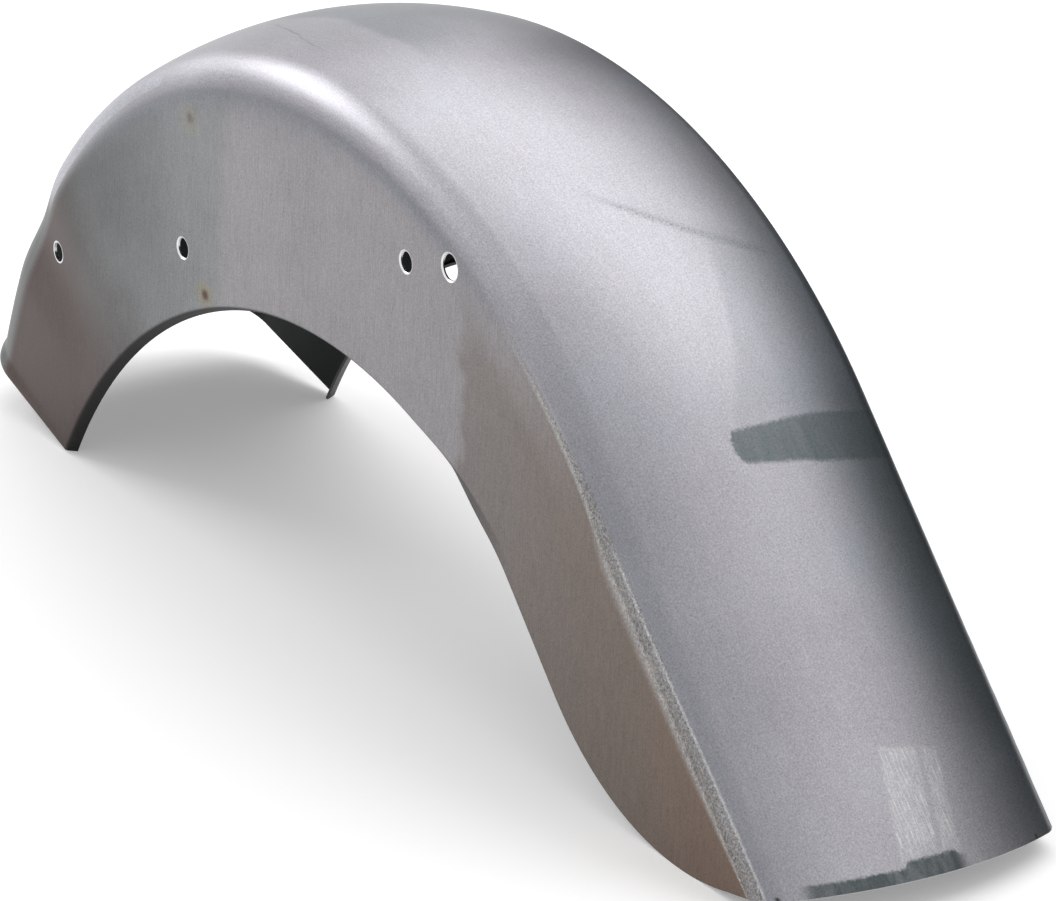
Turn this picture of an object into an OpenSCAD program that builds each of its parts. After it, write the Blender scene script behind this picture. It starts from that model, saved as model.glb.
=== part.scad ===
// Motorcycle rear fender in raw sheet steel, welded and ground into one shell.
// X runs back to the tail, Y to the far skirt and Z up. The origin is on the floor,
// at the middle of the fender's box. Sizes are in millimetres, angles in degrees.

/* [Section] */
// Overall width across the two flat skirts
width = 210; // [190:1:230]
// Thickness of the steel sheet
sheet_t = 1.9; // [1.2:0.1:2.6]
// Radius of the shallow dome across the crown
dome_r = 253; // [220:1:300]
// Radius of the shoulders over the top of the arc
shoulder_r = 32; // [26:1:38]
// Radius of the shoulders at the front cut
shoulder_r_front = 46; // [34:1:50]
// Radius of the shoulders at the end of the tail
shoulder_r_tail = 20; // [14:1:25]

/* [Crown line] */
// Radius of the crown's arc, seen from the side
crown_r = 453.5; // [430:0.5:480]
// Angle from the top of the arc forward to the front cut
front_angle = 73.8; // [64:0.5:80]
// Angle from the top of the arc back to the straight tail
tail_angle = 44.5; // [40:0.5:50]
// Length of the straight tail along the crown
tail_len = 301.5; // [288:0.5:320]

/* [Skirt edge] */
// Depth of the skirts below the crown beside the straight tail
skirt_depth = 147.5; // [140:0.5:158]
// Radius of the wheel arch
arch_r = 360; // [345:1:380]
// Radius of the tighter bend that leads from the arch into the straight edge
arch_bend_r = 160; // [120:1:240]
// Angle through which that bend turns
arch_bend_angle = 14; // [8:0.5:20]
// Distance along the tail at which that bend ends
arch_bend_end = 22; // [10:1:40]
// Distance along the tail at which the curve of the heel starts
heel_start = 99; // [90:1:108]
// Radius of the heel, which turns the edge back up to the tail
heel_r = 196; // [186:1:206]
// Angle through which the heel turns
heel_angle = 59; // [52:0.5:63]

/* [Flange] */
// Width of the flange turned in along the arch, past its bend
flange_w = 6.5; // [4:0.5:10]
// Outer radius of the flange's bend
flange_bend_r = 3; // [2.8:0.1:5]
// Angle through which the flange is turned in
flange_turn = 70; // [50:1:90]
// Angle behind the top of the arc at which the flange starts to run out
flange_end_angle = 24; // [10:1:40]
// Length of edge over which it runs out flat
flange_runout = 100; // [60:5:150]

/* [Front end] */
// Distance by which each shoulder is drawn in towards the front cut
front_draw = 4; // [0:0.5:8]
// Angle ahead of the top of the arc at which the shoulders start to draw in
front_draw_angle = 42; // [34:1:50]
// Height by which the front edge of the near shoulder is bent out
lip_flare = 2.5; // [0:0.5:6]
// Length of the bent edge along the crown
lip_len = 12; // [8:1:24]
// Depth of the shallow dent in the near shoulder
dent_depth = 3.5; // [0:0.5:5]
// Angle of the dent ahead of the top of the arc
dent_angle = 57; // [50:1:62]
// Angle from the middle of the dent to its end
dent_span = 7; // [5:1:10]

/* [Strut holes] */
// Diameter of the three strut bolt holes in each skirt
bolt_hole_d = 13; // [9:0.5:15]
// Diameter of the larger hole behind them
grommet_hole_d = 16.5; // [12:0.5:19]
// Angle of the front bolt hole ahead of the top of the arc
front_hole_angle = 55.3; // [52:0.1:58]
// Depth of the front bolt hole below the crown
front_hole_depth = 62.7; // [56:0.1:72]
// Angle of the middle bolt hole ahead of the top of the arc
middle_hole_angle = 28.6; // [24:0.1:33]
// Depth of the middle bolt hole below the crown
middle_hole_depth = 132; // [120:0.5:144]
// Angle of the rear bolt hole behind the top of the arc
rear_hole_angle = 16.8; // [13:0.1:18]
// Depth of the rear bolt hole below the crown
rear_hole_depth = 75.3; // [66:0.1:84]
// Angle of the larger hole behind the top of the arc
grommet_hole_angle = 22.8; // [21.5:0.1:26]
// Depth of the larger hole below the crown
grommet_hole_depth = 46.7; // [44:0.1:56]

/* [Hidden] */
steel = [0.56, 0.56, 0.57];
half_w = width / 2;
arc_n = 36;
tail_n = 14;
lip_n = 3;
dome_n = 5;
shoulder_n = 5;
bend_n = 2;
flat_bend = 2;
bore_fn = 48;
cut_over = 10;

// Directions in the side view as [x, z], at an angle behind the top of the crown's arc
function outward(a) = [sin(a), cos(a)];
function rearward(a) = [cos(a), -sin(a)];

// Centres of the arcs along the skirt edge, each arc tangent to the next
skirt_edge_r = crown_r - skirt_depth;
arch_bend_c = (skirt_edge_r - arch_bend_r) * outward(tail_angle) + arch_bend_end * rearward(tail_angle);
arch_c = arch_bend_c - (arch_r - arch_bend_r) * outward(tail_angle - arch_bend_angle);
heel_c = (skirt_edge_r + heel_r) * outward(tail_angle) + heel_start * rearward(tail_angle);
bend_from = arch_bend_c + arch_bend_r * outward(tail_angle - arch_bend_angle);
bend_from_angle = atan2(bend_from[0], bend_from[1]);
heel_len = heel_r * heel_angle * PI / 180;
heel_end_s = heel_start + heel_r * sin(heel_angle);
heel_end_depth = skirt_depth - heel_r * (1 - cos(heel_angle));

// Stations along the fender as [angle on the arc, share of the tail]
lip_angle = lip_len / crown_r * 180 / PI;
stations = concat(
    [for (i = [0:lip_n - 1]) [-front_angle + lip_angle * i / lip_n, 0]],
    [for (i = [0:arc_n]) [-front_angle + lip_angle + (front_angle - lip_angle + tail_angle) * i / arc_n, 0]],
    [for (i = [1:tail_n]) [tail_angle, i / tail_n]]);

// Smooth rise from 0 to 1
function ease(t) = let (u = min(1, max(0, t))) u * u * (3 - 2 * u);

// Distance along the tail at which its slanted cut crosses a given depth
function tail_cut_s(depth) = tail_len - (tail_len - heel_end_s) * depth / heel_end_depth;

// Side view place of a point of the crown or shoulder, at a depth below the crown
function crown_place(st, depth) =
    (crown_r - depth) * outward(st[0]) + st[1] * tail_cut_s(depth) * rearward(st[0]);

// Point of the skirt edge at a station, and the direction from it into the skirt
function on_arch(c, r, a) = let (m = outward(a) * c) outward(a) * (m + sqrt(m * m - c * c + r * r));
function on_tail(s, lift) = (skirt_edge_r + lift) * outward(tail_angle) + s * rearward(tail_angle);
function bend_lift(s) = sqrt(pow(arch_bend_r, 2) - pow(arch_bend_end - s, 2)) - arch_bend_r;
function edge_len(st) = st[1] * (heel_start + heel_len);
function edge_point(st) = let (s = edge_len(st), turn = (s - heel_start) / heel_r * 180 / PI)
    st[1] == 0 && st[0] < bend_from_angle ? on_arch(arch_c, arch_r, st[0])
    : st[1] == 0 ? on_arch(arch_bend_c, arch_bend_r, st[0])
    : s < arch_bend_end ? on_tail(s, bend_lift(s))
    : s < heel_start ? on_tail(s, 0)
    : heel_c - heel_r * outward(tail_angle - turn);
function edge_normal(st) = let (s = edge_len(st), turn = (s - heel_start) / heel_r * 180 / PI)
    st[1] == 0 && st[0] < bend_from_angle ? (edge_point(st) - arch_c) / arch_r
    : s < arch_bend_end ? (edge_point(st) - arch_bend_c) / arch_bend_r
    : s < heel_start ? outward(tail_angle)
    : outward(tail_angle - turn);

// Half width at the shoulders, shoulder radius, bent near shoulder and flange angle at a station
function drawn_in(st) = ease((-st[0] - front_draw_angle) / (front_angle - front_draw_angle));
function half_at(st) = half_w - front_draw * drawn_in(st);
function to_tail(st) = max(0, st[0] / tail_angle + st[1]) / 2;
function shoulder_at(st) = shoulder_r + (shoulder_r_front - shoulder_r) * drawn_in(st)
    + (shoulder_r_tail - shoulder_r) * to_tail(st);
function bent_out(st) = lip_flare * ease(1 - (st[0] + front_angle) / lip_angle)
    - dent_depth * ease(1 - abs(st[0] + dent_angle) / dent_span);
function flattened(st) = let (past = (st[0] - flange_end_angle) * PI / 180 * skirt_edge_r)
    ease((past + edge_len(st)) / flange_runout);
function flange_at(st) = flat_bend + (flange_turn - flat_bend) * (1 - flattened(st));

// Dome and shoulder of one side as [y, side view place], set in from the outer face
function shoulder_drop(st) = let (r = shoulder_at(st))
    dome_r - sqrt(pow(dome_r - r, 2) - pow(half_at(st) - r, 2));
function crown_side(st, inset, bent) = let (
        r = shoulder_at(st),
        y = half_at(st) - r,
        e = asin(y / (dome_r - r)),
        drop = shoulder_drop(st))
    concat(
        [for (i = [0:dome_n - 1]) let (a = e * i / dome_n, q = dome_r - inset + bent * i / dome_n)
            [q * sin(a), crown_place(st, dome_r - q * cos(a))]],
        [for (i = [0:shoulder_n]) let (a = e + (90 - e) * i / shoulder_n, q = r - inset + bent)
            [y + q * sin(a), crown_place(st, drop - q * cos(a))]]);

// Direction from the edge into the skirt: square to a bent flange, along the section past its end
function unit(v) = v / norm(v);
function edge_inward(st) = let (
        section = unit(crown_place(st, shoulder_drop(st)) - edge_point(st)),
        flat = flattened(st))
    unit((1 - flat) * edge_normal(st) + flat * section);

// Bend and flange of one side, with the same length of sheet at any flange angle
function flange_side(st, inset) = let (
        turn = flange_at(st),
        r = flange_bend_r * flange_turn / turn,
        up = r * sin(turn) + flange_w * cos(turn),
        foot = edge_point(st),
        inward = edge_inward(st))
    concat(
        [for (i = [0:bend_n]) let (a = turn * i / bend_n)
            [half_w - r + (r - inset) * cos(a), foot + (up - (r - inset) * sin(a)) * inward]],
        [[half_w - r + (r - inset) * cos(turn) - flange_w * sin(turn),
            foot + (up - (r - inset) * sin(turn) - flange_w * cos(turn)) * inward]]);

// Whole section from the near flange over the crown to the far flange
function face(st, inset) = let (
        near = concat(crown_side(st, inset, bent_out(st)), flange_side(st, inset)),
        far = concat(crown_side(st, inset, 0), flange_side(st, inset)),
        n = len(far) - 1)
    concat(
        [for (i = [n:-1:1]) [-near[i][0], near[i][1]]],
        [for (i = [0:n]) far[i]]);
function ring(st) = let (outer = face(st, 0), inner = face(st, sheet_t), n = len(inner) - 1)
    concat(outer, [for (i = [n:-1:0]) inner[i]]);

// Level floor under the front corners and the heels
front_corner = edge_point(stations[0]);
floor_line = heel_c - front_corner;
floor_tilt = atan2(floor_line[1], floor_line[0]) - asin(heel_r / norm(floor_line));
function level(p) = [p[0] * cos(floor_tilt) + p[1] * sin(floor_tilt), p[1] * cos(floor_tilt) - p[0] * sin(floor_tilt)];
function hole_place(angle, depth) = level((crown_r - depth) * outward(angle));

shell_points = [for (st = stations) for (p = ring(st)) let (q = level(p[1])) [q[0], p[0], q[1]]];
ring_n = len(ring(stations[0]));
last = ring_n * (len(stations) - 1);
face_n = ring_n / 2;
shell_faces = concat(
    [for (k = [0:len(stations) - 2]) for (j = [0:ring_n - 1]) let (a = k * ring_n, b = (j + 1) % ring_n)
        [a + j, a + b, a + ring_n + b, a + ring_n + j]],
    [for (j = [0:face_n - 2]) [j + 1, j, ring_n - 1 - j, ring_n - 2 - j]],
    [for (j = [0:face_n - 2]) [last + j, last + j + 1, last + ring_n - 2 - j, last + ring_n - 1 - j]]);
across = [for (p = shell_points) p[0]];
x_mid = (min(across) + max(across)) / 2;
z_floor = min([for (p = shell_points) p[2]]);

module skirt_hole(angle, depth, d) {
    p = hole_place(angle, depth);
    translate([p[0], 0, p[1]])
        rotate([90, 0, 0])
            cylinder(d = d, h = width + 2 * cut_over, center = true, $fn = bore_fn);
}

module fender() {
    color(steel)
        translate([-x_mid, 0, -z_floor])
            difference() {
                polyhedron(points = shell_points, faces = shell_faces, convexity = 8);
                skirt_hole(-front_hole_angle, front_hole_depth, bolt_hole_d);
                skirt_hole(-middle_hole_angle, middle_hole_depth, bolt_hole_d);
                skirt_hole(rear_hole_angle, rear_hole_depth, bolt_hole_d);
                skirt_hole(grommet_hole_angle, grommet_hole_depth, grommet_hole_d);
            }
}

fender();
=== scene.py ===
from math import cos, pi, radians, sin

import bpy
from mathutils import Matrix, Vector


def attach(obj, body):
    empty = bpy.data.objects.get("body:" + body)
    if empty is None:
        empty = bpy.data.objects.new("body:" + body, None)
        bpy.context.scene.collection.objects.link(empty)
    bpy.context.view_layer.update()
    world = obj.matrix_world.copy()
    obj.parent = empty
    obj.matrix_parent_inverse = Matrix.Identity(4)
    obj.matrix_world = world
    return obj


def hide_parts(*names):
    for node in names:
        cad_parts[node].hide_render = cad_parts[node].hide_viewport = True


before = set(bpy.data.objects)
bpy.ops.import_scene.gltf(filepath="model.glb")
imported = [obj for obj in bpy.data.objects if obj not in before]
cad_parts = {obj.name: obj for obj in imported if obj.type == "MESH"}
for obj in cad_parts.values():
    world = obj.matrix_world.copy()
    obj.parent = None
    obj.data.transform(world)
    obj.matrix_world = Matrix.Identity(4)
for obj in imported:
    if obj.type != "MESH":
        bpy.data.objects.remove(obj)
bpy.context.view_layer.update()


# Fender shell.
# The real shell is a crown rolled from 14 gauge sheet steel, with two flat skirts welded on
# along the shoulders and the seams ground down. The arch edge is turned in for stiffness.
MM = 0.001
SHELL = {
    "Half width": 105 * MM,
    "Dome radius": 253 * MM,
    "Shoulder radius": 32 * MM,
    "Front shoulder radius": 46 * MM,
    "Tail shoulder radius": 20 * MM,
    "Crown radius": 453.5 * MM,
    "Front angle": radians(73.8),
    "Tail angle": radians(44.5),
    "Tail length": 301.5 * MM,
    "Skirt depth": 147.5 * MM,
    "Arch radius": 360 * MM,
    "Arch bend radius": 160 * MM,
    "Arch bend angle": radians(14),
    "Arch bend end": 22 * MM,
    "Heel start": 99 * MM,
    "Heel radius": 196 * MM,
    "Heel angle": radians(59),
    "Flange width": 6.5 * MM,
    "Flange bend radius": 3 * MM,
    "Flange turn": radians(70),
    "Flange end angle": radians(24),
    "Flange runout": 100 * MM,
    "Front draw": 4 * MM,
    "Front draw angle": radians(42),
    "Lip flare": 2.5 * MM,
    "Lip length": 12 * MM,
    "Dent depth": 3.5 * MM,
    "Dent angle": radians(57),
    "Dent span": radians(7),
    "Seam ridge height": 0.45 * MM,
    "Seam ridge width": 0.9 * MM,
    "Seam ridge start": 395 * MM,
    "Seam ridge runout": 60 * MM,
    "Floor tilt": radians(0.427801),
    "Crown centre X": -49.5328 * MM,
    "Crown centre Z": -89.4993 * MM,
}
SHEET_T = 1.9 * MM
FLAT_BEND = radians(2)


def plug(tree, value, socket):
    """Links a socket to a field of the tree, or sets it to a plain number"""
    if isinstance(value, Field):
        tree.links.new(value.socket, socket)
    else:
        socket.default_value = value


class Field:
    """One number field of a node tree, so that a rule reads as plain arithmetic"""

    def __init__(self, tree, socket):
        self.tree, self.socket = tree, socket

    def math(self, operation, *values, clamp=False):
        node = self.tree.nodes.new("ShaderNodeMath")
        node.operation, node.use_clamp = operation, clamp
        for value, socket in zip(values, node.inputs):
            plug(self.tree, value, socket)
        return Field(self.tree, node.outputs[0])

    def __add__(self, other):
        return self.math("ADD", self, other)

    def __radd__(self, other):
        return self.math("ADD", other, self)

    def __sub__(self, other):
        return self.math("SUBTRACT", self, other)

    def __rsub__(self, other):
        return self.math("SUBTRACT", other, self)

    def __mul__(self, other):
        return self.math("MULTIPLY", self, other)

    def __rmul__(self, other):
        return self.math("MULTIPLY", other, self)

    def __truediv__(self, other):
        return self.math("DIVIDE", self, other)

    def __neg__(self):
        return self.math("MULTIPLY", self, -1.0)

    def __pow__(self, other):
        return self.math("POWER", self, other)

    def __abs__(self):
        return self.math("ABSOLUTE", self)

    def sin(self):
        return self.math("SINE", self)

    def cos(self):
        return self.math("COSINE", self)

    def asin(self):
        return self.math("ARCSINE", self)

    def sqrt(self):
        return self.math("SQRT", self)

    def sign(self):
        return self.math("SIGN", self)

    def least(self, other):
        return self.math("MINIMUM", self, other)

    def most(self, other):
        return self.math("MAXIMUM", self, other)

    def below(self, other):
        return self.math("LESS_THAN", self, other)

    def clamped(self):
        return self.math("ADD", self, 0.0, clamp=True)

    def ease(self):
        u = self.clamped()
        return u * u * (3 - 2 * u)

    def pick(self, here, there):
        """here where this field is 1, there where it is 0"""
        return there + self * (here - there)


def pick_pair(choice, here, there):
    """The same choice for both numbers of a point or direction"""
    return tuple(choice.pick(a, b) for a, b in zip(here, there))


def along(origin, *steps):
    """A point of the side view: the origin plus each (distance, direction)"""
    x, z = origin
    for distance, (dx, dz) in steps:
        x, z = x + distance * dx, z + distance * dz
    return x, z


# The weld's line on the shoulder as a zone, and how far it climbs towards the tail
SEAM_ZONE = 1.68
SEAM_CLIMB = 0.18
SEAM_CLIMB_FROM = 440 * MM
SEAM_CLIMB_TO = 660 * MM
# About how far the shoulder turns over one zone, in radians
SHOULDER_TURN = 1.2


def seam_zone(s):
    return SEAM_ZONE - SEAM_CLIMB * ((s - SEAM_CLIMB_FROM) / (SEAM_CLIMB_TO - SEAM_CLIMB_FROM)).ease()


def shell_tree():
    tree = bpy.data.node_groups.new("Fender shell", "GeometryNodeTree")
    face = tree.interface
    face.new_socket("Flat sheet", in_out="INPUT", socket_type="NodeSocketGeometry")
    for name, value in SHELL.items():
        face.new_socket(name, in_out="INPUT", socket_type="NodeSocketFloat").default_value = value
    face.new_socket("Steel", in_out="INPUT", socket_type="NodeSocketMaterial")
    face.new_socket("Shell", in_out="OUTPUT", socket_type="NodeSocketGeometry")
    given = tree.nodes.new("NodeGroupInput")
    v = {name: Field(tree, given.outputs[name]) for name in SHELL}
    place = tree.nodes.new("GeometryNodeInputPosition")
    split = tree.nodes.new("ShaderNodeSeparateXYZ")
    tree.links.new(place.outputs[0], split.inputs[0])
    s, zone = Field(tree, split.outputs[0]), Field(tree, split.outputs[1])

    crown_r, tail_a, tail_len = v["Crown radius"], v["Tail angle"], v["Tail length"]
    a = (s / crown_r).least(tail_a)
    t = ((s - crown_r * tail_a) / tail_len).clamped()
    outward, rearward = (a.sin(), a.cos()), (a.cos(), -a.sin())
    tail_out, tail_back = (tail_a.sin(), tail_a.cos()), (tail_a.cos(), -tail_a.sin())
    zero = (0.0, 0.0)

    edge_r = crown_r - v["Skirt depth"]
    heel_r, heel_start = v["Heel radius"], v["Heel start"]
    heel_end = heel_start + heel_r * v["Heel angle"].sin()
    heel_end_depth = v["Skirt depth"] - heel_r * (1 - v["Heel angle"].cos())
    bend_r, bend_end = v["Arch bend radius"], v["Arch bend end"]
    bend_c = along(zero, (edge_r - bend_r, tail_out), (bend_end, tail_back))
    before_bend = tail_a - v["Arch bend angle"]
    bend_dir = (before_bend.sin(), before_bend.cos())
    arch_r = v["Arch radius"]
    arch_c = along(bend_c, (bend_r - arch_r, bend_dir))
    bend_from = along(bend_c, (bend_r, bend_dir))
    bend_from_a = s.math("ARCTAN2", bend_from[0], bend_from[1])
    heel_c = along(zero, (edge_r + heel_r, tail_out), (heel_start, tail_back))

    def crown_place(depth):
        cut = tail_len - (tail_len - heel_end) * depth / heel_end_depth
        return along(zero, (crown_r - depth, outward), (t * cut, rearward))

    def on_arch(c, r):
        m = outward[0] * c[0] + outward[1] * c[1]
        reach = m + (m * m - c[0] * c[0] - c[1] * c[1] + r * r).sqrt()
        return along(zero, (reach, outward))

    # Skirt edge, and the direction from it into the skirt
    on_tail = s.math("GREATER_THAN", t, 0.0)
    edge_s = t * (heel_start + heel_r * v["Heel angle"])
    heel_turn = tail_a - (edge_s - heel_start) / heel_r
    heel_out = (heel_turn.sin(), heel_turn.cos())
    lift = (bend_r * bend_r - (bend_end - edge_s) ** 2.0).sqrt() - bend_r
    in_arch = a.below(bend_from_a)
    arc_edge = pick_pair(in_arch, on_arch(arch_c, arch_r), on_arch(bend_c, bend_r))
    tail_edge = along(zero, (edge_r, tail_out), (edge_s, tail_back))
    bend_edge = along(tail_edge, (lift, tail_out))
    heel_edge = along(heel_c, (-heel_r, heel_out))
    tail_edge = pick_pair(edge_s.below(heel_start), tail_edge, heel_edge)
    tail_edge = pick_pair(edge_s.below(bend_end), bend_edge, tail_edge)
    edge = pick_pair(on_tail, tail_edge, arc_edge)
    arch_n = tuple((p - c) / arch_r for p, c in zip(edge, arch_c))
    bend_n = tuple((p - c) / bend_r for p, c in zip(edge, bend_c))
    normal = pick_pair(edge_s.below(heel_start), tail_out, heel_out)
    normal = pick_pair(edge_s.below(bend_end), bend_n, normal)
    normal = pick_pair(in_arch * (1 - on_tail), arch_n, normal)

    # Half width, shoulder radius, dent and flange at each station
    drawn = ((-a - v["Front draw angle"]) / (v["Front angle"] - v["Front draw angle"])).ease()
    half = v["Half width"] - v["Front draw"] * drawn
    to_tail = (a / tail_a + t).most(0.0) / 2.0
    plain_r = v["Shoulder radius"]
    r = plain_r + (v["Front shoulder radius"] - plain_r) * drawn
    r = r + (v["Tail shoulder radius"] - plain_r) * to_tail
    flare = v["Lip flare"] * (1 - (a + v["Front angle"]) / (v["Lip length"] / crown_r)).ease()
    dent = v["Dent depth"] * (1 - abs(a + v["Dent angle"]) / v["Dent span"]).ease()
    near = zone.below(0.0)
    bent = near * (flare - dent)
    past = (a - v["Flange end angle"]) * edge_r + edge_s
    flat = (past / v["Flange runout"]).ease()
    turn = FLAT_BEND + (v["Flange turn"] - FLAT_BEND) * (1 - flat)

    # Dome and shoulder
    dome_r = v["Dome radius"]
    w = abs(zone)
    y_off = half - r
    dome_end = (y_off / (dome_r - r)).asin()
    drop = dome_r - ((dome_r - r) ** 2.0 - y_off * y_off).sqrt()
    share = w.least(1.0)
    dome_a, dome_q = dome_end * share, dome_r + bent * share
    dome_y, dome_p = dome_q * dome_a.sin(), crown_place(dome_r - dome_q * dome_a.cos())
    round_a = dome_end + (pi / 2 - dome_end) * (w - 1).clamped()
    from_seam = abs(w - seam_zone(s)) * r * SHOULDER_TURN / v["Seam ridge width"]
    ridge = v["Seam ridge height"] * (1 - from_seam).ease()
    ridge = ridge * ((s - v["Seam ridge start"]) / v["Seam ridge runout"]).ease()
    round_q = r + bent + ridge
    round_y = y_off + round_q * round_a.sin()
    round_p = crown_place(drop - round_q * round_a.cos())

    # Skirt, bend and flange
    top = crown_place(drop)
    section = tuple(p - q for p, q in zip(top, edge))
    section_l = (section[0] * section[0] + section[1] * section[1]).sqrt()
    inward = tuple(flat * p / section_l + (1 - flat) * n for p, n in zip(section, normal))
    inward_l = (inward[0] * inward[0] + inward[1] * inward[1]).sqrt()
    inward = tuple(p / inward_l for p in inward)
    bend_r0 = v["Flange bend radius"] * v["Flange turn"] / turn
    up = bend_r0 * turn.sin() + v["Flange width"] * turn.cos()
    down = (w - 2).clamped()
    skirt_y = (half + bent) + (v["Half width"] - half - bent) * down
    skirt_p = pick_pair(down, along(edge, (up, inward)), top)
    fold = turn * (w - 3).clamped()
    out_l = v["Flange width"] * (w - 4).clamped()
    fold_y = v["Half width"] - bend_r0 * (1 - fold.cos()) - out_l * turn.sin()
    fold_p = along(edge, (up - bend_r0 * fold.sin() - out_l * turn.cos(), inward))

    in_dome, in_round, in_skirt = w.below(1.0), w.below(2.0), w.below(3.0)
    y = in_skirt.pick(skirt_y, fold_y)
    y = in_dome.pick(dome_y, in_round.pick(round_y, y))
    p = pick_pair(in_dome, dome_p, pick_pair(in_round, round_p, pick_pair(in_skirt, skirt_p, fold_p)))
    tilt = v["Floor tilt"]
    x = p[0] * tilt.cos() + p[1] * tilt.sin() + v["Crown centre X"]
    z = p[1] * tilt.cos() - p[0] * tilt.sin() + v["Crown centre Z"]

    # Length of sheet from the middle of the crown, which the finishes follow
    skirt_l = ((skirt_p[0] - top[0]) ** 2.0 + (skirt_p[1] - top[1]) ** 2.0).sqrt()
    length = dome_r * dome_a + r * (round_a - dome_end) * (1 - in_dome)
    length = length + skirt_l * (1 - in_round)

    def store(name, first, second, geometry):
        pair = tree.nodes.new("ShaderNodeCombineXYZ")
        plug(tree, first, pair.inputs[0])
        plug(tree, second, pair.inputs[1])
        node = tree.nodes.new("GeometryNodeStoreNamedAttribute")
        node.data_type, node.domain = "FLOAT2", "CORNER"
        node.inputs["Name"].default_value = name
        tree.links.new(geometry, node.inputs["Geometry"])
        tree.links.new(pair.outputs[0], node.inputs["Value"])
        return node.outputs["Geometry"]

    side = zone.sign()
    sheet = store("sheet", s, length * side, given.outputs["Flat sheet"])
    sheet = store("zone", t, zone, sheet)
    spot = tree.nodes.new("ShaderNodeCombineXYZ")
    for value, socket in zip((x, y * side, z), spot.inputs):
        plug(tree, value, socket)
    shape = tree.nodes.new("GeometryNodeSetPosition")
    real = tree.nodes.new("GeometryNodeRealizeInstances")
    paint = tree.nodes.new("GeometryNodeSetMaterial")
    done = tree.nodes.new("NodeGroupOutput")
    tree.links.new(sheet, shape.inputs["Geometry"])
    tree.links.new(spot.outputs[0], shape.inputs["Position"])
    tree.links.new(shape.outputs[0], real.inputs[0])
    tree.links.new(real.outputs[0], paint.inputs["Geometry"])
    tree.links.new(given.outputs["Steel"], paint.inputs["Material"])
    tree.links.new(paint.outputs[0], done.inputs[0])
    return tree


def flat_sheet():
    """The grid that the rule bends: X is distance along the crown, Y the zone across it"""
    arc_from = -SHELL["Crown radius"] * SHELL["Front angle"]
    arc_to = SHELL["Crown radius"] * SHELL["Tail angle"]
    tail_to = arc_to + SHELL["Tail length"]
    lip_rows, arc_rows, tail_rows = 8, 128, 74
    lip_to = arc_from + SHELL["Lip length"]
    stations = [arc_from + (lip_to - arc_from) * i / lip_rows for i in range(lip_rows)]
    stations += [lip_to + (arc_to - lip_to) * i / arc_rows for i in range(arc_rows)]
    stations += [arc_to + (tail_to - arc_to) * i / tail_rows for i in range(tail_rows + 1)]
    dome_rows, shoulder_rows, skirt_rows, bend_rows, flange_rows = 18, 44, 10, 6, 2
    zone_rows = (dome_rows, shoulder_rows, skirt_rows, bend_rows, flange_rows)
    half = [k + i / n for k, n in enumerate(zone_rows) for i in range(n)] + [len(zone_rows)]
    across = [-w for w in reversed(half[1:])] + half
    n = len(across)
    points = [(s, w, 0) for s in stations for w in across]
    faces = [
        (k * n + j, (k + 1) * n + j, (k + 1) * n + j + 1, k * n + j + 1)
        for k in range(len(stations) - 1)
        for j in range(n - 1)
    ]
    mesh = bpy.data.meshes.new("Flat sheet")
    mesh.from_pydata(points, [], faces)
    return mesh


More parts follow.
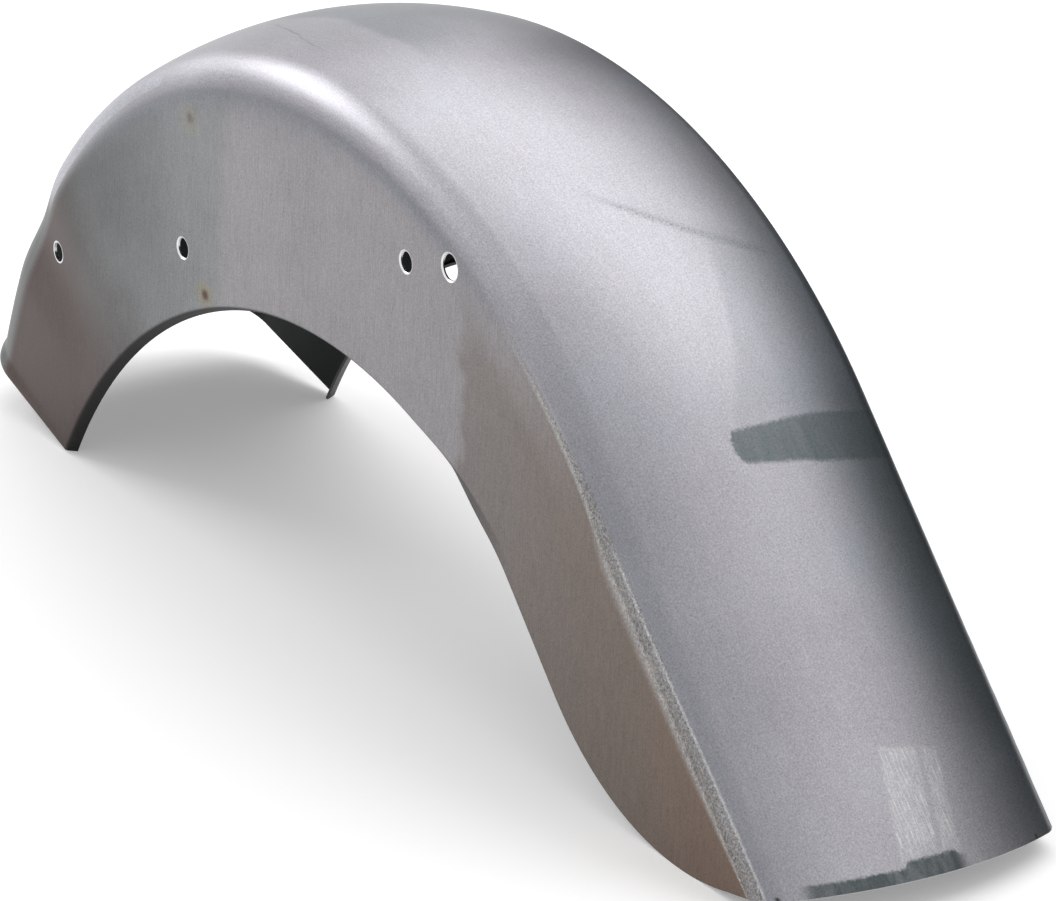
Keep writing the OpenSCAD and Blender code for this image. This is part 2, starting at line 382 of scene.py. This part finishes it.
class Finish:
    """A bare metal material whose tone is laid down in layers over the sheet"""

    def __init__(self, name, colour, roughness):
        self.material = bpy.data.materials.new(name)
        self.material.use_nodes = True
        self.tree = self.material.node_tree
        self.shader = self.tree.nodes["Principled BSDF"]
        self.shader.inputs["Metallic"].default_value = 1
        self.shader.inputs["Roughness"].default_value = roughness
        self.shader.inputs["Base Color"].default_value = (*colour, 1)
        self.colour = colour

    def pair(self, name):
        node = self.tree.nodes.new("ShaderNodeUVMap")
        node.uv_map = name
        return self.parts(node.outputs[0])[:2]

    def parts(self, socket):
        node = self.tree.nodes.new("ShaderNodeSeparateXYZ")
        self.tree.links.new(socket, node.inputs[0])
        return [Field(self.tree, output) for output in node.outputs]

    def places(self):
        node = self.tree.nodes.new("ShaderNodeTexCoord")
        return self.parts(node.outputs["Object"])

    def noise(self, x, y, z=0.0, detail=2.0, rough=0.5):
        """Noise about zero, from roughly -0.5 to 0.5"""
        place = self.tree.nodes.new("ShaderNodeCombineXYZ")
        for value, socket in zip((x, y, z), place.inputs):
            plug(self.tree, value, socket)
        node = self.tree.nodes.new("ShaderNodeTexNoise")
        node.inputs["Scale"].default_value = 1
        node.inputs["Detail"].default_value = detail
        node.inputs["Roughness"].default_value = rough
        self.tree.links.new(place.outputs[0], node.inputs["Vector"])
        return Field(self.tree, node.outputs[0]) - 0.5

    def specks(self, x, y, share, radius):
        """Round specks, in a share of the unit cells of the given plane"""
        place = self.tree.nodes.new("ShaderNodeCombineXYZ")
        for value, socket in zip((x, y), place.inputs):
            plug(self.tree, value, socket)
        node = self.tree.nodes.new("ShaderNodeTexVoronoi")
        node.inputs["Scale"].default_value = 1
        self.tree.links.new(place.outputs[0], node.inputs["Vector"])
        luck = self.parts(node.outputs["Color"])[0]
        return (1 - Field(self.tree, node.outputs["Distance"]) / radius).ease() * luck.below(share)

    def layer(self, amount, colour):
        """Lays a colour over what lies below, by that amount"""
        node = self.tree.nodes.new("ShaderNodeMix")
        node.data_type = "RGBA"
        factor, _, _, _, _, _, below, above = node.inputs[:8]
        plug(self.tree, amount, factor)
        if isinstance(self.colour, tuple):
            below.default_value = (*self.colour, 1)
        else:
            self.tree.links.new(self.colour, below)
        above.default_value = (*colour, 1)
        self.colour = node.outputs[2]

    def tone(self, field):
        """Multiplies the colour so far by a number field"""
        node = self.tree.nodes.new("ShaderNodeVectorMath")
        node.operation = "SCALE"
        self.tree.links.new(self.colour, node.inputs[0])
        self.tree.links.new(field.socket, node.inputs["Scale"])
        self.colour = node.outputs[0]

    def finish(self, roughness, height=None, distance=0.0):
        """Joins the layers to the shader, with a bump where a height is given"""
        self.tree.links.new(self.colour, self.shader.inputs["Base Color"])
        self.tree.links.new(roughness.socket, self.shader.inputs["Roughness"])
        if height is not None:
            bump = self.tree.nodes.new("ShaderNodeBump")
            bump.inputs["Strength"].default_value = 1
            bump.inputs["Distance"].default_value = distance
            self.tree.links.new(height.socket, bump.inputs["Height"])
            self.tree.links.new(bump.outputs[0], self.shader.inputs["Normal"])
        return self.material


def rise(value, start, end):
    """0 before the start, 1 past the end, smooth between"""
    return ((value - start) / (end - start)).ease()


def within(value, low, high, soft):
    """1 between low and high, 0 outside, smooth over the soft width either side of each"""
    return rise(value, low - soft, low + soft) * (1 - rise(value, high - soft, high + soft))


# Strut and grommet holes as (angle on the arc in degrees, depth below the crown, diameter)
HOLES = (
    (-55.3, 62.7 * MM, 13 * MM),
    (-28.6, 132 * MM, 13 * MM),
    (16.8, 75.3 * MM, 13 * MM),
    (22.8, 46.7 * MM, 16.5 * MM),
)
COUNTERSINK = 0.75 * MM


def hole_place(angle, depth):
    reach = SHELL["Crown radius"] - depth
    turn = radians(angle) + SHELL["Floor tilt"]
    return reach * sin(turn) + SHELL["Crown centre X"], reach * cos(turn) + SHELL["Crown centre Z"]


# Tones of the bare steel, with the painted shade, highlights and sheen laid over it, as linear colour
STEEL = {
    "crown": (0.32, 0.313, 0.338),
    "skirt": (0.262, 0.25, 0.262),
    "skirt ahead of the line": (0.22, 0.225, 0.232),
    "painted shade at the front of the skirt": (0.088, 0.091, 0.091),
    "brown front corner": (0.083, 0.06, 0.055),
    "rear blotch": (0.192, 0.174, 0.169),
    "rear of the skirt": (0.178, 0.147, 0.129),
    "brown heel": (0.178, 0.127, 0.1),
    "painted shade under the shoulder": (0.17, 0.182, 0.205),
    "painted far-side shade": (0.115, 0.15, 0.157),
    "dark painted far-side shade": (0.1, 0.13, 0.14),
    "blue cloud": (0.27, 0.3, 0.36),
    "painted shoulder highlight": (0.46, 0.455, 0.49),
    "painted tail sheen": (0.4, 0.395, 0.42),
    "painted shade next to the weld": (0.2, 0.21, 0.232),
    "ground weld": (0.245, 0.238, 0.234),
    "weld edge on the skirt": (0.46, 0.45, 0.445),
    "weld edge on the crown": (0.55, 0.545, 0.55),
    "painted shade at the front of the crown": (0.085, 0.088, 0.088),
    "ground shoulder": (0.42, 0.43, 0.47),
    "smear": (0.098, 0.117, 0.124),
    "sanded": (0.56, 0.555, 0.56),
    "scuff": (0.15, 0.16, 0.17),
    "drag": (0.24, 0.25, 0.27),
    "worn": (0.19, 0.205, 0.225),
    "scratch": (0.12, 0.12, 0.13),
    "handled": (0.18, 0.205, 0.225),
    "tail stain": (0.075, 0.088, 0.092),
    "black mark": (0.02, 0.02, 0.02),
    "straw heat ring": (0.24, 0.2, 0.1),
    "brown heat spot": (0.07, 0.028, 0.016),
    "filed rim and painted glint": (0.8, 0.8, 0.81),
    "painted shade on the flange": (0.03, 0.028, 0.028),
    "dark speck": (0.03, 0.025, 0.025),
    "bright speck": (0.75, 0.75, 0.75),
}


class SheetFinish(Finish):
    """A finish that knows its place on the shell: s along the crown and across it, both in
    metres, w the zone without its side, and x, y, z in the frame"""

    def __init__(self, name, colour, roughness):
        super().__init__(name, colour, roughness)
        self.s, self.across = self.pair("sheet")
        _, zone = self.pair("zone")
        self.x, self.y, self.z = self.places()
        self.w, self.near = abs(zone), zone.below(0.0)
        self.cloud = self.noise(self.x * 14, self.y * 14, self.z * 14, 3.0)
        self.wisps = self.noise(self.s * 22, self.across * 90, 0.0, 3.0, 0.6)
        self.fray = self.noise(self.s * 420, self.across * 420, 0.0, 2.0) * 0.004
        self.skirt = rise(self.w, 1.72, 1.98)


def skirt_tones(f):
    """Duller than the crown, browner towards the front corner and the heel, with painted shade
    towards the front and under the shoulder
    """
    line, front, corner = (-0.165, -0.143), (-0.38, -0.14), (-0.3, -0.16)
    blotch, rear, heel = (0.118, 0.136), (0.13, 0.3), (0.3, 0.43)
    drift = f.x + f.cloud * 0.08
    to_corner = f.x + f.z * 0.7 + f.cloud * 0.1
    ragged = f.x + f.noise(f.x * 30, f.z * 30, 1.0, 2.0) * 0.05
    f.layer(f.skirt, STEEL["skirt"])
    f.layer(f.skirt * (1 - rise(f.x + f.cloud * 0.03, *line)), STEEL["skirt ahead of the line"])
    # Painted shade: the skirt is much darker towards the front
    f.layer(f.skirt * (1 - rise(drift, *front)), STEEL["painted shade at the front of the skirt"])
    f.layer(f.skirt * (1 - rise(to_corner, *corner)) * 0.85, STEEL["brown front corner"])
    f.layer(f.skirt * rise(ragged, *blotch) * rise(f.w, 2.0, 2.3), STEEL["rear blotch"])
    f.layer(f.skirt * rise(drift, *rear), STEEL["rear of the skirt"])
    f.layer(f.skirt * rise(drift, *heel), STEEL["brown heel"])
    # Painted shade: a bluish darker strip along the top of the skirt, where the shoulder turns
    under_shoulder_shade = within(f.w + f.cloud * 0.1, 1.74, 2.02, 0.1)
    under_shoulder_shade = under_shoulder_shade * (1 - rise(f.s, 0.12, 0.3)) * rise(f.s, -0.4, -0.25)
    f.layer(under_shoulder_shade * 0.6, STEEL["painted shade under the shoulder"])


def crown_tones(f):
    """Blue grey painted shade over the far side, painted highlights on the shoulder and a painted
    sheen down the tail
    """
    # Painted shade: the far side of the crown is darkened in two steps, by an amount that changes
    # along the crown
    far_shade_left = 0.62 + 0.2 * rise(f.s, 0.3, 0.4) - 0.36 * rise(f.s, 0.54, 0.65)
    far = rise(f.across + f.cloud * 0.05, 0.02, 0.1) * rise(f.s, -0.1, 0.5)
    f.layer(far * far_shade_left, STEEL["painted far-side shade"])
    f.layer(rise(f.across + f.cloud * 0.03, 0.06, 0.12) * 0.45, STEEL["dark painted far-side shade"])
    f.layer((1 - rise(f.w, 1.3, 1.6)) * rise(f.cloud, 0.02, 0.3) * 0.3, STEEL["blue cloud"])
    # Painted highlight: the shoulder is lightened in two stretches, one at the front and one further
    # back
    front_highlight, rear_highlight = within(f.s, -0.26, -0.12, 0.05), within(f.s, 0.1, 0.25, 0.05)
    f.layer(within(f.w, 1.1, 1.6, 0.2) * front_highlight.most(rear_highlight) * 0.4, STEEL["painted shoulder highlight"])
    # Painted sheen: the middle of the crown is lightened down the tail
    f.layer(rise(f.s, 0.5, 0.6) * (1 - rise(f.w, 0.7, 1.1)) * 0.35, STEEL["painted tail sheen"])


def weld_band(f):
    """The ground weld: a rough band that widens to the tail, between two light edges, with painted
    shade on the shoulder next to it
    """
    seam, s = seam_zone(f.s), f.s
    band_end = 1.88 + 0.16 * rise(s, 0.36, 0.43)
    wide, narrow_start = within(s, 0.36, 0.52, 0.03), 1 - rise(s, 0.3, 0.38)
    band_from = seam - 0.06 * wide + narrow_start * 0.1
    started, seam_shown = rise(s, 0.22, 0.33), rise(s, 0.4, 0.44)
    rough_w = f.w + f.noise(s * 420, f.across * 420, 0.0, 3.0, 0.7) * 0.09
    # Painted shade: a darker strip on the shoulder next to the weld, where the surface turns
    beside = rise(f.w, 0.5, 1.4) * (1 - rise(f.w, seam, seam + 0.05)) * rise(s, 0.2, 0.4)
    f.layer(beside * 0.6, STEEL["painted shade next to the weld"])
    band = within(rough_w, band_from, band_end, 0.03) * started
    f.layer(band * 0.85, STEEL["ground weld"])
    skirt_edge = within(rough_w, band_end - 0.07, band_end + 0.02, 0.06) * started
    f.layer(skirt_edge * 0.5, STEEL["weld edge on the skirt"])
    crown_edge = within(rough_w, seam - 0.03, seam + 0.03, 0.03) * seam_shown
    f.layer(crown_edge * 0.6, STEEL["weld edge on the crown"])
    return band


def ground_shoulder(f):
    """Painted shade over the front end of the crown, and a light ground patch on the front shoulders,
    which ends abruptly ahead of the crown's top
    """
    end, middle, low_zone = -0.2115, 1.45, 1.585
    # Painted shade: the front end of the crown is darkened
    front = rise(-f.s + f.cloud * 0.02, 0.375, 0.44) * rise(f.w, 0.7, 1.3) * (1 - f.skirt)
    f.layer(front, STEEL["painted shade at the front of the crown"])
    low = low_zone + (end - 0.002 - f.s) * 1.15 + f.cloud * 0.06
    rounded_end = end - (f.w - middle) ** 2.0 * 0.06 + f.fray
    ground = rise(f.s, -0.43, -0.4) * (1 - rise(f.s, rounded_end - 0.003, rounded_end + 0.001))
    ground = ground * rise(f.w, 1.15, 1.42) * (1 - rise(f.w, low - 0.03, low + 0.02))
    f.layer(ground * 0.75, STEEL["ground shoulder"])
    return ground


def smear(f):
    """A dark wiped smear across the far half of the crown, rounded at its near end"""
    near_end, middle, half_width = -0.0195, 0.375, 0.0115
    rear = 0.387 + (f.across + 0.018) * 0.12 + f.cloud * 0.012
    rounding = ((f.s - middle) / half_width) ** 2.0 * 0.0045
    ragged_s = f.s + f.fray
    wiped = rise(ragged_s + f.cloud * 0.008, 0.363, 0.3665)
    wiped = wiped * (1 - rise(ragged_s, rear - 0.0025, rear + 0.0015))
    wiped = wiped * rise(f.across + f.fray * 1.5 - rounding, near_end, near_end + 0.0025)
    wiped = wiped * (1 - rise(f.across, 0.085, 0.12) * 0.6)
    f.layer(wiped * (0.84 + f.wisps * 0.5), STEEL["smear"])
    return wiped


def sanded_strokes(f):
    """Two strokes of coarse paper side by side on the tail"""
    start, slant = 0.575, 0.22
    streaks = rise(f.noise(f.across * 900, f.s * 60, 3.0, 3.0, 0.65), -0.05, 0.2)
    run = f.across + (f.s - start) * slant + f.fray
    strokes = within(run, -0.007, 0.0185, 0.0015).most(within(run, 0.0225, 0.034, 0.0015))
    strokes = strokes * rise(f.s - f.across * 0.25 + f.fray * 2, start - 0.004, start)
    strokes = strokes * (1 - rise(f.s + f.fray * 3, 0.63, 0.65))
    f.layer(strokes * (0.16 + 0.7 * streaks), STEEL["sanded"])


def scuff(f):
    """A gritty line that bends away over the crown, and the worn tone behind it"""
    at_middle, slope, bend = 0.2105, 0.83, 4.5
    off = f.s - (at_middle + f.across * slope - f.across * f.across * bend) + f.fray
    grit = rise(f.noise(f.s * 700, f.across * 700, 5.0, 2.0), -0.05, 0.12)
    line = within(off, -0.0035, 0.003, 0.003) * within(f.across, -0.02, 0.075, 0.012)
    f.layer(line * (0.25 + 0.55 * grit), STEEL["scuff"])
    drag = rise(off, -0.02, -0.002) * (1 - rise(off, -0.002, 0.0))
    f.layer(drag * within(f.across, -0.01, 0.07, 0.012) * 0.25, STEEL["drag"])
    past = f.s - 0.232
    worn_from = 0.03 - past * 0.15 - past ** 2.0 * 1.3
    worn = rise(f.across - worn_from + f.cloud * 0.02, -0.002, 0.006)
    f.layer(worn * within(f.s, 0.24, 0.36, 0.03) * 0.32, STEEL["worn"])


def scratch(f):
    """One thin wandering scratch near the top of the crown"""
    half_width = 0.0007
    wander = f.noise(f.s * 30, 7.0, 0.0, 1.0) * 0.012
    off = f.across + 0.045 + (f.s + 0.156) * 0.25 + wander
    line = within(off, -half_width, half_width, 0.0005) * within(f.s, -0.15, -0.06, 0.012)
    f.layer(line * (0.4 + f.wisps), STEEL["scratch"])


def handled_top(f):
    """A darker handled area over the top of the crown, with a clear front edge"""
    slanted = f.s + f.across * 0.6 + f.cloud * 0.02
    handled = rise(slanted, -0.203, -0.197) * (1 - rise(slanted, -0.06, 0.03))
    handled = handled * rise(f.across - f.cloud * 0.02, -0.036, -0.028)
    f.layer(handled * (1 - rise(f.w, 1.2, 1.6)) * 0.55, STEEL["handled"])


def tail_stain(f):
    """A stain along the tail's edge, deeper at the middle, with a few black marks"""
    start, deeper = 0.6462, 0.004
    front = start - deeper * within(f.across, -0.019, 0.017, 0.003) + f.fray
    stain = rise(f.s, front - 0.002, front + 0.001) * within(f.across, -0.082, 0.019, 0.006)
    f.layer(stain * (0.95 + f.wisps), STEEL["tail stain"])
    marks = f.specks(f.across * 170, 0.0, 0.16, 0.4)
    f.layer(within(f.s, 0.6505, 0.66, 0.001) * marks, STEEL["black mark"])


# Tacks of the inner bracing as (x, z, radius of the heat spot, strength)
TACKS = ((-0.1727, 0.1717, 4.2 * MM, 0.9), (-0.194, 0.2835, 4.6 * MM, 0.45))


def heat_spots(f):
    """Brown spots with a straw ring, where a tack on the inner side heated the near skirt"""
    outer = f.near * f.skirt
    for tack_x, tack_z, radius, strength in TACKS:
        away = (((f.x - tack_x) * 0.75) ** 2.0 + ((f.z - tack_z) * 0.9) ** 2.0).sqrt()
        away = away + f.cloud * 0.002
        ring = 1 - rise(away, radius, radius * 2.6)
        f.layer(ring * outer * 0.45 * strength, STEEL["straw heat ring"])
        core = 1 - rise(away, radius * 0.2, radius * 1.1)
        f.layer(core * outer * strength, STEEL["brown heat spot"])


def rims_and_glints(f):
    """A bright rim round each hole, partly filed steel and partly a painted glint"""
    for angle, depth, diameter in HOLES:
        hole_x, hole_z = hole_place(angle, depth)
        off = ((f.x - hole_x) ** 2.0 + (f.z - hole_z) ** 2.0).sqrt() - diameter / 2
        rim = 1 - rise(off, COUNTERSINK + 0.2 * MM, COUNTERSINK + 0.5 * MM)
        # Partly a painted glint: a bright ring on the skirt just outside each countersink
        f.layer(rim * f.skirt * 0.85, STEEL["filed rim and painted glint"])


def raw_steel():
    f = SheetFinish("Raw rolled steel", STEEL["crown"], 0.42)
    skirt_tones(f)
    crown_tones(f)
    band = weld_band(f)
    ground = ground_shoulder(f)
    wiped = smear(f)
    sanded_strokes(f)
    scuff(f)
    scratch(f)
    handled_top(f)
    tail_stain(f)
    heat_spots(f)
    rims_and_glints(f)
    # Painted shade: the turned-in flange is near black along the arch
    f.layer(rise(f.w, 3.1, 3.8) * (1 - rise(f.x, 0.1, 0.2)), STEEL["painted shade on the flange"])

    # Grain: fine lines down the skirts and along the crown, and a sparkle all over
    x, y, z = f.x, f.y, f.z
    lines = f.noise(x * 1300, z * 60, y * 3, 2.0, 0.6) * f.skirt
    rolled = f.noise(f.s * 40, f.across * 1100, 2.0, 2.0, 0.6) * (1 - f.skirt)
    sparkle = f.noise(x * 950, y * 950, z * 950, 2.0, 0.7)
    grind = f.noise(x * 700, y * 700, z * 700, 2.0, 0.8) * (band + 0.4 * ground)
    grain = 1 + lines * 0.6 + rolled * 0.2 + sparkle * 1.1 + f.cloud * 0.3 + f.wisps * 0.1
    f.tone(grain + grind * 2.6)
    f.layer(f.specks(x * 38, z * 38, 0.18, 0.022) * f.skirt * 0.8, STEEL["dark speck"])
    f.layer(f.specks(x * 60 + 5, z * 60, 0.1, 0.03) * f.skirt * 0.6, STEEL["bright speck"])
    roughness = 0.41 + sparkle * 0.12 + lines * 0.1 + f.cloud * 0.06 + band * 0.1 + wiped * 0.05
    return f.finish(roughness, sparkle * (0.6 + 2.0 * band), 0.06 * MM)


def underside_steel():
    # Painted shade: the inside of the shell is painted near black
    f = Finish("Steel underside in painted shade", (0.024, 0.028, 0.028), 0.6)
    x, y, z = f.places()
    scale = f.noise(x * 30, y * 30, z * 30, 4.0, 0.6)
    grain = f.noise(x * 800, y * 800, z * 800, 2.0, 0.6)
    f.layer(rise(scale, 0.05, 0.25) * 0.6, (0.04, 0.037, 0.034))
    f.tone(1 + grain * 0.4 + scale * 0.3)
    return f.finish(0.6 + scale * 0.15, grain, 0.05 * MM)


def sheared_edge():
    """Bright where it was cut and filed, but painted dark along the turned-in flange, as shade"""
    f = Finish("Sheared steel edge", (0.8, 0.8, 0.81), 0.3)
    x, y, z = f.places()
    _, zone = f.pair("zone")
    nicks = f.noise(x * 600, y * 600, z * 600, 2.0, 0.6)
    f.layer(rise(nicks, 0.1, 0.3) * 0.5, (0.4, 0.4, 0.4))
    # Painted shade: the flange's cut edge is dark along the arch
    f.layer(rise(abs(zone), 3.5, 4.5) * (1 - rise(x, 0.1, 0.25)) * 0.9, (0.05, 0.045, 0.045))
    return f.finish(0.3 + nicks * 0.2)


steel, underside, cut_edge = raw_steel(), underside_steel(), sheared_edge()

shell = bpy.data.objects.new("Fender shell", flat_sheet())
bpy.context.collection.objects.link(shell)
rule = shell.modifiers.new("Fender shell", "NODES")
rule.node_group = shell_tree()
for item in rule.node_group.interface.items_tree:
    if item.in_out == "INPUT" and item.name in SHELL:
        rule[item.identifier] = SHELL[item.name]
    if item.name == "Steel":
        rule[item.identifier] = steel
wall = shell.modifiers.new("Sheet thickness", "SOLIDIFY")
wall.thickness, wall.offset, wall.use_even_offset = SHEET_T, -1, True
wall.material_offset, wall.material_offset_rim = 1, 2
corner = shell.modifiers.new("Deburred edges", "BEVEL")
corner.width, corner.segments, corner.limit_method = 0.3 * MM, 1, "ANGLE"
corner.angle_limit, corner.material = radians(60), 2

HOLE_SIDES = 64
DRILL_IN = 12 * MM
DRILL_OUT = 5 * MM
# Depth of the front hole's skirt inside the full width, near and far
FRONT_HOLE_IN = {-1: 2.9 * MM, 1: 1.2 * MM}


def drill(x, z, radius, side, face_y):
    """Points and faces of a drill, with a countersink that breaks the outer edge of the hole"""
    rings = (
        (face_y - side * DRILL_IN, radius),
        (face_y - side * COUNTERSINK, radius),
        (face_y, radius + COUNTERSINK),
        (face_y + side * DRILL_OUT, radius + COUNTERSINK + DRILL_OUT),
    )
    n = HOLE_SIDES
    turns = [2 * pi * i / n for i in range(n)]
    points = [(x + r * cos(turn), y, z + r * sin(turn)) for y, r in rings for turn in turns]
    faces = [
        (k * n + i, k * n + (i + 1) % n, (k + 1) * n + (i + 1) % n, (k + 1) * n + i)
        for k in range(len(rings) - 1)
        for i in range(n)
    ]
    last = (len(rings) - 1) * n
    faces += [tuple(range(n - 1, -1, -1)), tuple(range(last, last + n))]
    if side > 0:
        faces = [face[::-1] for face in faces]
    return points, faces


points, faces = [], []
for angle, depth, diameter in HOLES:
    x, z = hole_place(angle, depth)
    for side in (-1, 1):
        inset = FRONT_HOLE_IN[side] if angle == HOLES[0][0] else 0
        face_y = side * (SHELL["Half width"] - inset)
        drill_points, drill_faces = drill(x, z, diameter / 2, side, face_y)
        faces += [tuple(len(points) + i for i in face) for face in drill_faces]
        points += drill_points
drill_mesh = bpy.data.meshes.new("Drills")
drill_mesh.from_pydata(points, [], faces)
for slot in (steel, underside, cut_edge):
    drill_mesh.materials.append(slot)
for face in drill_mesh.polygons:
    face.material_index = 2
drills = bpy.data.objects.new("Drills", drill_mesh)
bpy.context.collection.objects.link(drills)
drilled = shell.modifiers.new("Strut holes", "BOOLEAN")
drilled.operation, drilled.solver, drilled.object = "DIFFERENCE", "EXACT", drills

for slot in (steel, underside, cut_edge):
    shell.data.materials.append(slot)
evaluated = shell.evaluated_get(bpy.context.evaluated_depsgraph_get())
fender_mesh = bpy.data.meshes.new_from_object(evaluated)
fender_mesh.name = "Fender"
fender_mesh.shade_smooth()
fender_mesh.set_sharp_from_angle(angle=radians(32))
fender = bpy.data.objects.new("Fender", fender_mesh)
bpy.context.collection.objects.link(fender)
bpy.data.objects.remove(shell)
bpy.data.objects.remove(drills)
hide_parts("fender")
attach(fender, "root")


# Studio floor and lamps.
# A plain pale floor under a broad overhead lamp, a small soft lamp ahead of the fender, and a
# dark card behind it, which gives the turned-away side its shade.
FLOOR_WHITE = (0.86, 0.86, 0.86)
FLOOR_GLOW = 0.27
SKY_LIGHT = 0.6
SKY_SEEN = 1.0
MIDDLE = Vector((0, 0, 0.15))


def facing(place, axis="Z"):
    """A frame at that point, with the given axis turned to the middle of the fender"""
    turn = (MIDDLE - Vector(place)).to_track_quat(axis, "Y")
    return Matrix.Translation(place) @ turn.to_matrix().to_4x4()


def stage_plane(name, size, colour, matrix):
    mesh = bpy.data.meshes.new(name)
    w, h = size[0] / 2, size[1] / 2
    mesh.from_pydata([(-w, -h, 0), (w, -h, 0), (w, h, 0), (-w, h, 0)], [], [(0, 1, 2, 3)])
    plane = bpy.data.objects.new(name, mesh)
    plane.matrix_world = matrix
    material = bpy.data.materials.new(name)
    material.use_nodes = True
    shader = material.node_tree.nodes["Principled BSDF"]
    shader.inputs["Base Color"].default_value = (*colour, 1)
    shader.inputs["Roughness"].default_value = 1
    shader.inputs["Specular IOR Level"].default_value = 0
    mesh.materials.append(material)
    bpy.context.collection.objects.link(plane)
    return plane


def seen_directly(tree):
    """1 for camera, glossy and transmission rays, 0 for the rays that light the fender"""
    ray = tree.nodes.new("ShaderNodeLightPath")
    camera, glossy, through = (
        Field(tree, ray.outputs[name])
        for name in ("Is Camera Ray", "Is Glossy Ray", "Is Transmission Ray")
    )
    return camera.most(glossy).most(through)


floor = stage_plane("Floor", (60, 60), FLOOR_WHITE, Matrix.Identity(4))
floor_tree = floor.data.materials[0].node_tree
floor_shader = floor_tree.nodes["Principled BSDF"]
floor_shader.inputs["Emission Color"].default_value = (1, 1, 1, 1)
glow = seen_directly(floor_tree) * FLOOR_GLOW
floor_tree.links.new(glow.socket, floor_shader.inputs["Emission Strength"])

CARD_DARK = (0.03, 0.035, 0.04)
card = stage_plane("Dark card", (2.5, 1.0), CARD_DARK, facing((0.0, 1.0, 0.35)))
card.visible_camera = False
card.visible_shadow = False
card.visible_diffuse = False


def soft_lamp(name, place, size, watts):
    light = bpy.data.lights.new(name, "AREA")
    light.shape, light.size, light.size_y = "RECTANGLE", *size
    light.energy = watts
    lamp = bpy.data.objects.new(name, light)
    lamp.matrix_world = facing(place, "-Z")
    bpy.context.collection.objects.link(lamp)


soft_lamp("Overhead lamp", place=(-0.4, 1.05, 2.6), size=(4.0, 1.9), watts=43)
soft_lamp("Front lamp", place=(-1.9, -0.7, 1.4), size=(1.2, 0.8), watts=15.5)

world = bpy.data.worlds.new("Studio")
bpy.context.scene.world = world
world.use_nodes = True
sky = world.node_tree.nodes["Background"]
sky.inputs["Color"].default_value = (1, 1, 1, 1)
brightness = SKY_LIGHT + seen_directly(world.node_tree) * (SKY_SEEN - SKY_LIGHT)
world.node_tree.links.new(brightness.socket, sky.inputs["Strength"])

# Camera.
# A long lens from behind the tail on the near side, a little tilted, as in the photograph.
CAMERA_AT = Vector((3.17687, -2.08594, 1.65465))
LOOKS_AT = Vector((0.0436, 0, 0.1225))
CAMERA_ROLL = radians(1.8852)
lens = bpy.data.cameras.new("Camera")
lens.sensor_fit, lens.sensor_width, lens.lens = "HORIZONTAL", 36, 224.283
lens.clip_end = 100
camera = bpy.data.objects.new("Camera", lens)
level = (LOOKS_AT - CAMERA_AT).to_track_quat("-Z", "Y").to_matrix()
turn = level @ Matrix.Rotation(CAMERA_ROLL, 3, "Z")
camera.matrix_world = Matrix.Translation(CAMERA_AT) @ turn.to_4x4()
bpy.context.collection.objects.link(camera)
bpy.context.scene.camera = camera
bpy.context.scene.view_settings.view_transform = "Standard"
